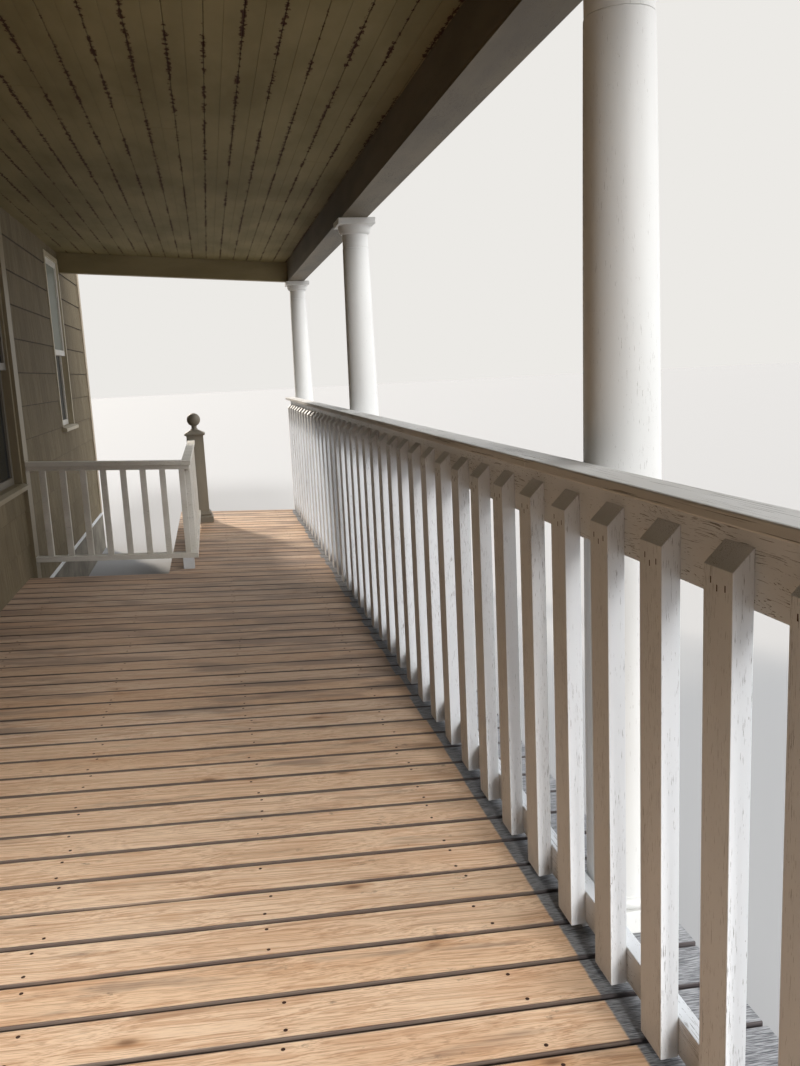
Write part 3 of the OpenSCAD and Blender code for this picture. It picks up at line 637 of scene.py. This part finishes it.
# %% Floor nails
nail_steel, tree, shader = new_material("rusted_nail_steel", Roughness=0.8, Metallic=0.4)
shader.inputs["Base Color"].default_value = colour("#4a3024")
NAIL_ROWS = (0.24, 0.80, 1.36, 1.90)
NAIL_RADIUS = 0.0050
NAIL_INSET = 0.030
NAIL_SUNK = 0.0006
LOST_NAILS = 0.3


def floor_nails():
    """Nail heads in rows over the joists."""
    rng = random.Random(21)
    bm = bmesh.new()
    lines = lines_between(FLOOR_LINE, FLOOR_PITCH, 0.0, walk_high.y)
    for low, high in zip(lines, lines[1:]):
        for x in NAIL_ROWS:
            if high > walk_low.y and x < walk_low.x:
                continue
            for y in (low + NAIL_INSET, high - NAIL_INSET):
                if rng.random() < LOST_NAILS:
                    continue
                at_x = x + rng.uniform(-0.016, 0.016)
                spot = Vector((at_x, y + rng.uniform(-0.006, 0.006), floor_z(at_x) - NAIL_SUNK))
                bmesh.ops.create_circle(bm, cap_ends=True, segments=8, radius=NAIL_RADIUS,
                                        matrix=Matrix.Translation(spot))
    finish_piece(bm, "floor_nails", nail_steel)


floor_nails()

# %% [markdown]
# ## Beaded ceiling boards
#
# The ceiling is beaded boarding: each board has a V joint at its edge and a fine groove down its
# middle. The old cream paint has peeled along the joints in broken, ragged brown lines, wide in
# some places and gone in others, so the peeling is a mask of distance from a joint line whose
# width comes from noise along the board. What is left of the paint is chalky, so it hardly
# mirrors, and the low sky does not bleach it.

# %% Ceiling finish
ceiling_shaded_paint, tree, shader = new_material("peeling_cream_ceiling_paint_darkened_as_shade", Roughness=0.8,
                                           Specular_IOR_Level=0.12)
distance = line_distance(tree, "X", CEILING_LINE, CEILING_PITCH)
runs = stretched(tree, (0.10, 0.45, 1.0), detail=4.0, shift=2.0)
ragged = stretched(tree, (0.030, 0.036, 1.0), detail=5.0, roughness=0.8)
reach = step(tree, runs, 0.42, 0.56, -0.0085, 0.0005)
reach = plus(tree, reach, times(tree, step(tree, ragged, 0.40, 0.66), 0.0150))
peeled = step(tree, minus(tree, reach, distance), -0.0003, 0.0006)
crack = step(tree, distance, 0.0006, 0.0016, 0.55, 0.0)
middle = line_distance(tree, "X", CEILING_LINE + CEILING_PITCH / 2, CEILING_PITCH)
middle = step(tree, middle, 0.0008, 0.0022, 0.16, 0.0)
stains = stretched(tree, (0.3, 0.9, 1.0), detail=5.0, shift=9.0)
# The cream is drawn darker than the paint is, as painted shade under the roof.
base = blend(tree, step(tree, stains, 0.3, 0.72), colour("#857a58"), colour("#6f6545"))
base = blend(tree, middle, base, colour("#4c402f"))
base = blend(tree, crack, base, colour("#33271a"))
base = blend(tree, peeled, base, colour("#3b220e"))
surface(tree, shader, base, minus(tree, 1.0, peeled), strength=0.5, depth=0.0008)

# %% [markdown]
# Each board is a flat outline with chamfered edges and a groove, extruded along the porch. Some
# are pieced from two lengths, with a narrow butt joint between them.

# %% Ceiling boards
V_JOINT = 0.0022
BEAD = 0.0014
CLOSE_JOINT = 0.0003
PIECED = 0.7
BUTT_JOINTS = (3.0, 9.5)
BUTT_GAP = 0.004


def ceiling_boards():
    """Beaded boards along the porch, in place of the CAD slab."""
    rng = random.Random(5)
    bm = bmesh.new()
    lines = lines_between(CEILING_LINE, CEILING_PITCH, 0.0, ceiling_high.x)
    for low, high in zip(lines, lines[1:]):
        a, b = low + CLOSE_JOINT, high - CLOSE_JOINT
        mid = (low + high) / 2
        outline = [(a, CEILING_THICK), (a, V_JOINT), (a + V_JOINT, 0.0), (mid - BEAD, 0.0),
                   (mid, BEAD), (mid + BEAD, 0.0), (b - V_JOINT, 0.0), (b, V_JOINT),
                   (b, CEILING_THICK)]
        ends = [ceiling_low.y, ceiling_high.y]
        if rng.random() < PIECED:
            ends.insert(1, rng.uniform(*BUTT_JOINTS))
        for start, stop in zip(ends, ends[1:]):
            points = [(x, start, ceiling_z(x) + z) for x, z in outline]
            extrude_outline(bm, points, (0, stop - start - BUTT_GAP, 0))
    finish_piece(bm, "ceiling_boards", ceiling_shaded_paint, ["ceiling"])


ceiling_boards()

# %% [markdown]
# ## Combed shakes on the wall
#
# The wall is covered with machine-combed shakes in courses about 235 mm high. Each shake is a
# thin wedge, thick at its butt, so every course throws a shadow line on the one below. Upright
# combing shows as fine grooves. They are drawn about 10 mm apart, coarser than real ones, which
# would be lost at this distance. The paint between them is dull and streaked by rain, and its
# taupe is drawn darker than it is, as painted shade under the porch roof. Just under each butt
# a dark band is painted shadow that deepens the shadow line, so it repeats with the courses.

# %% Shake finish
COURSE_LINE = 1.245
COURSE = 0.2355
COURSES_BELOW = 20
shaded_shake_paint, tree, shader = new_material("taupe_paint_darkened_as_shade_on_combed_shakes", Roughness=0.85)
tone = add(tree, "ShaderNodeAttribute", attribute_name="tone", out="Fac")
combing = stretched(tree, (1.0, 0.010, 0.50), detail=2.0)
streaks = stretched(tree, (1.0, 0.055, 0.16), detail=3.0, shift=8.0)
dirt = stretched(tree, (1.0, 0.5, 0.35), detail=4.0, shift=4.0)
# The taupe is drawn darker than the house paint, as painted shade under the porch roof.
base = blend(tree, tone, colour("#6c6048"), colour("#7c7057"))
base = blend(tree, step(tree, combing, 0.42, 0.60, 0.0, 0.6), base, colour("#5a4e37"))
base = blend(tree, step(tree, streaks, 0.46, 0.70, 0.0, 0.4), base, colour("#53472f"))
base = blend(tree, step(tree, dirt, 0.45, 0.75, 0.0, 0.35), base, colour("#6c5f4a"))
# Painted shadow: a dark band just under each butt, repeated with the courses.
height = position(tree, "Z")
under = minus(tree, height, COURSE_LINE - COURSES_BELOW * COURSE)
under = add(tree, "ShaderNodeMath", {0: under, 1: COURSE}, operation="MODULO")
under = step(tree, under, COURSE - 0.009, COURSE - 0.004, 0.0, 0.85)
base = blend(tree, under, base, colour("#33291d"))
surface(tree, shader, base, combing, strength=0.9, depth=0.006)

# %% [markdown]
# The shakes differ in width and hang a little unevenly. The wall is taken in fields from one end
# to the other, each with the spans of height that are free of a window and its casing, and a
# shake is cut to those spans. An opening has a start and a stop along the porch, and a foot and
# a head in height. The wide casing of the near window makes a field of its own on either side.

# %% Shakes
SHAKE_LAP = 0.02
BUTT = 0.013
SHAKE_TIP = 0.003
SHAKE_WIDTHS = (0.11, 0.24)
NARROWEST_SHAKE = 0.06
LOWEST_SHAKE = 0.004
UNEVEN_BUTT = 0.0015
SHAKE_GAP = 0.002
CASING = 0.140
Opening = namedtuple("Opening", "start stop foot head")
NEAR_WINDOW = Opening(7.380, 8.580, 1.158, 3.069)
FAR_WINDOW = Opening(10.585, 11.340, 1.436, 3.009)
wall_low, wall_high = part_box("wall_piers")
corner_low, corner_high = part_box("corner_board")


def shakes():
    """Courses of shakes over the whole wall, cut to the windows."""
    rng = random.Random(12)
    bm = bmesh.new()
    tone = bm.verts.layers.float.new("tone")
    near, far = NEAR_WINDOW, FAR_WINDOW
    full = [(wall_low.z, wall_high.z)]
    over = [(near.head, wall_high.z)]
    fields = [(wall_low.y, near.start - CASING, full),
              (near.start - CASING, near.start, over),
              (near.start, near.stop, [(wall_low.z, near.foot)] + over),
              (near.stop, near.stop + CASING, over),
              (near.stop + CASING, far.start, full),
              (far.start, far.stop, [(wall_low.z, far.foot), (far.head, wall_high.z)]),
              (far.stop, corner_low.y, full)]
    first = math.floor((wall_low.z - COURSE_LINE) / COURSE)
    last = math.ceil((wall_high.z - COURSE_LINE) / COURSE)
    for k in range(first, last):
        butt = COURSE_LINE + k * COURSE
        top = butt + COURSE + SHAKE_LAP
        for y0, y1, spans in fields:
            y = y0
            while y < y1 - 0.0005:
                width = rng.uniform(*SHAKE_WIDTHS)
                end = y + width if y1 - y - width > NARROWEST_SHAKE else y1
                level = rng.random()
                drop = rng.uniform(0.0, UNEVEN_BUTT)
                for z0, z1 in spans:
                    low, high = max(butt - drop, z0), min(top, z1)
                    if high - low < LOWEST_SHAKE:
                        continue
                    depth = [BUTT + (SHAKE_TIP - BUTT) * (z - butt) / (top - butt)
                             for z in (low, high)]
                    side = y + SHAKE_GAP / 2
                    points = [(0, side, low), (depth[0], side, low),
                              (depth[1], side, high), (0, side, high)]
                    for v in extrude_outline(bm, points, (0, end - y - SHAKE_GAP, 0)):
                        v[tone] = level
                y = end
    finish_piece(bm, "wall_shakes", shaded_shake_paint)


shakes()

# %% [markdown]
# Behind the shakes the CAD wall is one plain thickness. Its back is the room side, finished as
# smooth plaster, with the faint waves of a trowel. The foundation and the piers are concrete,
# blotched by damp, whose grit is drawn 4 mm coarse so that it shows. The house corner has the
# shakes' taupe paint at its own pale tone, and the shakes' darker taupe is painted shade.

# %% Wall and foundation finishes
plaster, tree, shader = new_material("painted_plaster", Roughness=0.85)
patches = stretched(tree, (0.6, 0.6, 0.6), detail=5.0)
trowel = stretched(tree, (0.05, 0.05, 0.05), detail=4.0)
base = blend(tree, patches, colour("#c9c3b6"), colour("#bab3a5"))
surface(tree, shader, base, trowel, strength=0.3, depth=0.001)

concrete, tree, shader = new_material("weathered_concrete", Roughness=0.9)
cloud = stretched(tree, (0.25, 0.25, 0.18), detail=6.0)
grit = stretched(tree, (0.004, 0.004, 0.004), detail=3.0)
base = blend(tree, step(tree, cloud, 0.3, 0.7), colour("#7f796d"), colour("#625c51"))
base = blend(tree, step(tree, grit, 0.6, 0.75, 0.0, 0.5), base, colour("#57534d"))
surface(tree, shader, base, grit, strength=0.5, depth=0.002)

# The corner keeps the house paint's own pale taupe; the shakes' darker copy is painted shade.
corner_paint = old_paint("taupe_paint_on_corner_board", "Z", "#b9ac96", "#a69984", "#6f6555",
                         0.3, 0.6)
dress(plaster, "wall_piers", "wall_at_windows")
dress(concrete, "foundation", edge=0.004)
dress(concrete, "piers", edge=0.006)
dress(corner_paint, "corner_board", edge=0.002)

# %% [markdown]
# ## Weathered timber under the floor and in the roof
#
# Timber that was never painted turns silver grey and checks along its grain. It is drawn as the
# paint is, with the wood itself as the ground colour and the checks as its cracks.

# %% Bare timber
GREY = ("#8a8379", "#6f685e", "#3d3731", 1.2, 0.8)
grey_along = old_paint("weathered_timber_along_porch", "Y", *GREY)
grey_across = old_paint("weathered_timber_across_porch", "X", *GREY)
dress(grey_across, "girders", "rafters", edge=0.002)
dress(grey_along, "joists", "roof_deck", edge=0.002)

# %% [markdown]
# ## Turned columns
#
# The columns are lathe work: a straight foot, a shaft that draws in towards the top, a capital
# with a plain neck, a round cushion and a square slab, and a roll moulding on a square plinth.
# A profile spun round the axis is how a turner would describe them. The slab and the plinth are
# square blocks with eased edges.

# %% Columns
COLUMNS = 4
FOOT_RADIUS = 0.095
NECK_RADIUS = 0.079
TAPER = 2.0
NECK_STEP = 0.0015
CAPITAL_NECK = 0.078
ECHINUS = 0.052
SLAB = 0.036
SLAB_OUT = 0.012
BASE_FILLET = 0.013
QUIRK = 0.002
SLAB_EDGE = 0.003
bases_low, bases_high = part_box("column_bases")
shafts_low, shafts_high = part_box("column_shafts")
capitals_low, capitals_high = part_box("column_capitals")
column_x = (shafts_low.x + shafts_high.x) / 2
first_column = shafts_low.y + FOOT_RADIUS
column_step = (shafts_high.y - shafts_low.y - 2 * FOOT_RADIUS) / (COLUMNS - 1)
centres = [Vector((column_x, first_column + k * column_step, 0)) for k in range(COLUMNS)]


def arc(radius, height, size_out, size_up, start, stop, steps=8):
    """Profile points on a quarter or half round, between two angles in degrees."""
    turns = [math.radians(start + (stop - start) * k / steps) for k in range(steps + 1)]
    return [(radius + size_out * math.cos(t), height + size_up * math.sin(t)) for t in turns]


def shaft_profile():
    """A foot, and a shaft that draws in faster and faster towards its top."""
    rise = shafts_high.z - shafts_low.z
    steps = 18
    points = [(0.0, shafts_low.z)]
    for k in range(steps + 1):
        share = k / steps
        radius = FOOT_RADIUS - (FOOT_RADIUS - NECK_RADIUS) * share ** TAPER
        points.append((radius, shafts_low.z + rise * share))
    points[-1:] = [(NECK_RADIUS, shafts_high.z - QUIRK), (NECK_RADIUS - 0.0025, shafts_high.z)]
    return points + [(0.0, shafts_high.z)]


def base_profile():
    """A roll with a narrow fillet on top."""
    outer = (bases_high.x - bases_low.x) / 2
    height = bases_high.z - bases_low.z
    roll = (height - BASE_FILLET) / 2
    bottom = [(0.0, bases_low.z), (outer - roll, bases_low.z)]
    bottom += arc(outer - roll, bases_low.z + roll, roll, roll, -80, 80)
    top = outer - roll + QUIRK
    return bottom + [(top, bases_low.z + 2 * roll), (top, bases_high.z), (0.0, bases_high.z)]


def capital_profile():
    """A plain neck and a quarter-round cushion that carries the slab."""
    neck = NECK_RADIUS - NECK_STEP
    reach = (capitals_high.x - capitals_low.x) / 2 - SLAB_OUT - neck
    low = shafts_high.z
    round_foot = low + CAPITAL_NECK
    points = [(0.0, low), (neck - QUIRK, low), (neck, low + QUIRK), (neck, round_foot)]
    steps = 8
    for k in range(1, steps + 1):
        t = math.radians(90 * k / steps)
        points.append((neck + reach * math.sin(t), round_foot + ECHINUS * (1 - math.cos(t))))
    return points + [(0.0, round_foot + ECHINUS)]


def turned_set(name, profile, node, squares=None):
    """One turned form at every column, with or without a square block."""
    bm = bmesh.new()
    for centre in centres:
        lathe(bm, profile, centre)
    shade_round(bm)
    if squares:
        half, low, high = squares
        own = bmesh.new()
        for centre in centres:
            block(own, (centre.x - half, centre.y - half, low),
                  (centre.x + half, centre.y + half, high))
        soften(own, SLAB_EDGE)
        join_into(bm, own)
    finish_piece(bm, name, column_paint, [node])


turned_set("turned_shafts", shaft_profile(), "column_shafts")
turned_set("turned_bases", base_profile(), "column_bases")
slab = ((capitals_high.x - capitals_low.x) / 2, capitals_high.z - SLAB, capitals_high.z)
turned_set("turned_capitals", capital_profile(), "column_capitals", slab)
dress(column_paint, "column_plinths", edge=0.003)
print("columns at y:", [round(c.y, 3) for c in centres])

# %% [markdown]
# ## Balustrade
#
# The balusters are dressed two-by-fours with a 45 degree bevel on top, nailed to a board on edge
# under the cap. They keep their CAD shape, with the edges eased by a millimetre. Three nails at
# the head of each leave short dark dents, given as a place beside the middle and one below the
# bevel. They differ by a few millimetres, as nails driven by hand do.

# %% Balustrade
dress(white_upright, "balusters_bay_1", "balusters_bay_2", "balusters_bay_3", "balusters_end",
      edge=0.0012)
dress(white_along, "sub_rail", "bottom_rail", "foot_blocks", "rim_boards", edge=0.002)
dress(cap_paint, "rail_cap", edge=0.004)
dress(side_paint, "side_rail_top", "side_rail_bottom", edge=0.002)
dress(side_paint, "notch_balusters", "walkway_balusters", edge=0.0015)
dress(newel_shaded_paint, "newel_post", "newel_base", "newel_cap", edge=0.002)

# %% Baluster nails
FIRST_BALUSTER = 0.332
BALUSTER_STEP = 0.236
LAST_BALUSTER = 11.4
BEVEL_RISE = 0.038
HEAD_NAILS = ((-0.022, 0.022), (0.001, 0.032), (0.023, 0.020))
NAIL_WIDE = 0.0030
NAIL_TALL = 0.0110
rail_low, rail_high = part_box("balusters_bay_1")


def baluster_nails():
    """Nail dents in the inner faces of the balusters between the columns."""
    rng = random.Random(8)
    bm = bmesh.new()
    face = rail_low.x
    bevel_foot = rail_high.z - BEVEL_RISE
    y = FIRST_BALUSTER
    while y < LAST_BALUSTER:
        for shift, drop in HEAD_NAILS:
            middle = y + shift + rng.uniform(-0.003, 0.003)
            top = bevel_foot - drop + rng.uniform(-0.004, 0.004)
            block(bm, (face - 0.0003, middle - NAIL_WIDE / 2, top - NAIL_TALL),
                  (face + 0.001, middle + NAIL_WIDE / 2, top))
        y += BALUSTER_STEP
    finish_piece(bm, "baluster_nails", nail_steel)


baluster_nails()

# %% [markdown]
# ## Beam, headers, eaves and trim
#
# The beam and the headers at both ends are boxed in with plain boards, and they keep their CAD
# shape with eased edges. Their paints come from the list above: taupe on the beam, cream on the
# soffit and the headers, and the balustrade's white on the eaves and the water table.

# %% Beam and trim
dress(beam_paint, "front_beam", edge=0.002)
dress(soffit_stained_and_shaded_paint, "beam_soffit", edge=0.0015)
dress(header_paint, "end_headers", "end_panels", edge=0.002)
dress(white_along, "fascia", "eave_soffit", "water_table", edge=0.0015)

# %% [markdown]
# ## Windows
#
# Old glass is a thin dark mirror from most angles, so the panes are smooth and dark. The far
# window looks duller: its lower half is a grey insect screen, and its upper half shows a pale
# blind behind dusty glass. Both scatter light, so they are rough and mirror little. The wide
# boards beside the near window carry the wall's colour.

# %% Windows
MEETING_RAIL = 2.148
pane, tree, shader = new_material("old_window_glass", IOR=1.5)
past = add(tree, "ShaderNodeMath", {0: position(tree, "Y"), 1: BETWEEN_WINDOWS},
           operation="GREATER_THAN")
upper = add(tree, "ShaderNodeMath", {0: position(tree, "Z"), 1: MEETING_RAIL},
            operation="GREATER_THAN")
base = blend(tree, past, colour("#20272a"), colour("#4c4c48"))
base = blend(tree, times(tree, past, upper), base, colour("#868a80"))
tree.links.new(base, shader.inputs["Base Color"])
tree.links.new(step(tree, past, 0.4, 0.6, 0.03, 0.5), shader.inputs["Roughness"])
tree.links.new(step(tree, past, 0.4, 0.6, 0.5, 0.08), shader.inputs["Specular IOR Level"])
dress(casing_paint, "window_frames", "window_sills", edge=0.0015)
dress(sash_paint, "window_sashes", edge=0.0015)
dress(pane, "window_glass")

# %% [markdown]
# ## Roof
#
# The roof is covered with mineral felt shingles, 305 mm tabs that show 127 mm. Each tab is a thin
# wedge whose lower edge lifts a few millimetres, and half a tab of shift from course to course
# keeps the slots apart. They lie within the CAD roofing's own thickness. Felt is dull all over,
# and its granules are drawn 4 mm coarse.

# %% Roof finish
felt, tree, shader = new_material("mineral_felt_shingles", Roughness=0.95)
granules = stretched(tree, (0.004, 0.004, 0.004), detail=2.0)
tone = add(tree, "ShaderNodeAttribute", attribute_name="tone", out="Fac")
base = blend(tree, tone, colour("#4a4845"), colour("#625f5a"))
base = blend(tree, step(tree, granules, 0.4, 0.65, 0.0, 0.6), base, colour("#2f2e2c"))
surface(tree, shader, base, granules, strength=0.6, depth=0.002)

# %% Shingles
TAB = 0.305
EXPOSURE = 0.127
TAB_SLOT = 0.006
TAB_LIFT = 0.004
LAST_COURSE = 0.02
LAST_TAB = 0.01
ROOF_SLOPE = math.tan(math.radians(12))
roof_low, roof_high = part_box("roofing")


def roof_z(x):
    """Height of the roof's top at a distance from the wall."""
    return roof_high.z - x * ROOF_SLOPE


def roof_shingles():
    """A bed of felt and the courses of tabs on it, from the eave up."""
    rng = random.Random(33)
    bm = bmesh.new()
    tone = bm.verts.layers.float.new("tone")
    thick = roof_z(roof_high.x) - roof_low.z
    under = [(0, roof_z(0) - thick), (roof_high.x, roof_low.z),
             (roof_high.x, roof_z(roof_high.x) - TAB_LIFT), (0, roof_z(0) - TAB_LIFT)]
    extrude_outline(bm, [(x, roof_low.y, z) for x, z in under], (0, roof_high.y - roof_low.y, 0))
    x1 = roof_high.x
    course = 0
    while x1 > LAST_COURSE:
        x0 = max(x1 - EXPOSURE, 0.0)
        y = roof_low.y
        while y < roof_high.y - LAST_TAB:
            end = y + TAB
            if y == roof_low.y and course % 2:
                end -= TAB / 2
            end = min(end, roof_high.y)
            level = rng.random()
            outline = [(x0, roof_z(x0) - TAB_LIFT), (x1, roof_z(x1) - TAB_LIFT), (x1, roof_z(x1))]
            points = [(x, y + TAB_SLOT / 2, z) for x, z in outline]
            for v in extrude_outline(bm, points, (0, end - y - TAB_SLOT, 0)):
                v[tone] = level
            y = end
        x1 -= EXPOSURE
        course += 1
    finish_piece(bm, "roof_shingles", felt, ["roofing"])


roof_shingles()

# %% [markdown]
# The flashing over the roof's upper edge is galvanised sheet gone dull. Its zinc crystals show as
# faint patches, drawn about 17 mm wide.

# %% Flashing
zinc, tree, shader = new_material("dull_galvanised_steel", Roughness=0.45, Metallic=1.0)
spangle = add(tree, "ShaderNodeTexCoord", out="Object")
spangle = add(tree, "ShaderNodeTexVoronoi", {"Vector": spangle, "Scale": 60.0}, out="Color")
base = blend(tree, 0.12, colour("#8d9194"), spangle)
tree.links.new(base, shader.inputs["Base Color"])
dress(zinc, "flashing")
